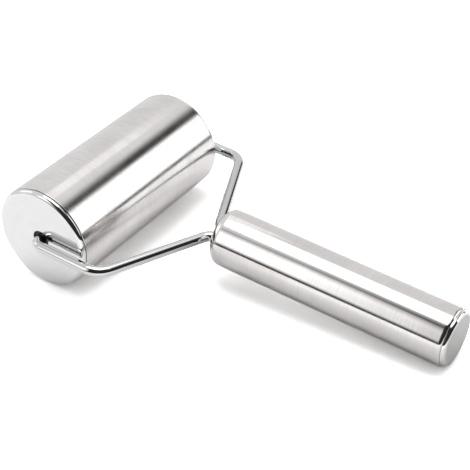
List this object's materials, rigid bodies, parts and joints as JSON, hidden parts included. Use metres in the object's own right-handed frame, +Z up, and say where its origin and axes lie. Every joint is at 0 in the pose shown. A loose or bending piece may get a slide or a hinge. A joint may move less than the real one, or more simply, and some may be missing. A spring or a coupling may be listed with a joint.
{
  "type": "dough hand roller",
  "caption": "Stainless steel hand roller for dough: a hollow brushed roller that spins freely between bent wire arms, on a round hollow handle with a rounded nose and end cap.",
  "frame": {"origin": "on the table, under the middle of the whole tool as it lies on its roller and on the end of its handle", "axes": "+X from the roller to the end of the handle, +Y along the roller to the right of whoever holds it, +Z up from the table"},
  "size_m": [0.2095, 0.1182, 0.05],
  "materials": {
    "brushed_steel": "fine satin grain around the axis",
    "polished_steel": "polished stainless steel",
    "plain_steel": "as pressed or cut",
    "bearing_plastic": "smooth black acetal",
    "core_plastic": "moulded glass-filled nylon",
    "seal_rubber": "smooth nitrile rubber"
  },
  "bodies": {
    "handle_frame": {"left_arm": "polished_steel", "right_arm": "polished_steel", "left_thrust_washer": "plain_steel", "right_thrust_washer": "plain_steel", "left_pin_ring": "plain_steel", "right_pin_ring": "plain_steel", "handle_nose": "brushed_steel", "handle_tube": "brushed_steel", "handle_core": "core_plastic", "front_lock_pin": "plain_steel", "rear_lock_pin": "plain_steel", "core_retaining_ring": "plain_steel", "handle_end_cap": "polished_steel", "end_cap_seal": "seal_rubber"},
    "roller": {"roller_tube": "brushed_steel", "left_end_cap": "polished_steel", "right_end_cap": "polished_steel", "left_bearing_cup": "plain_steel", "right_bearing_cup": "plain_steel", "left_bush": "bearing_plastic", "right_bush": "bearing_plastic"}
  },
  "joints": [
    {"name": "roller_spin", "type": "hinge", "parent": "handle_frame", "child": "roller", "pos_m": [-0.07977, 0, 0.025], "axis": [0, 1, 0], "continuous": true}
  ]
}
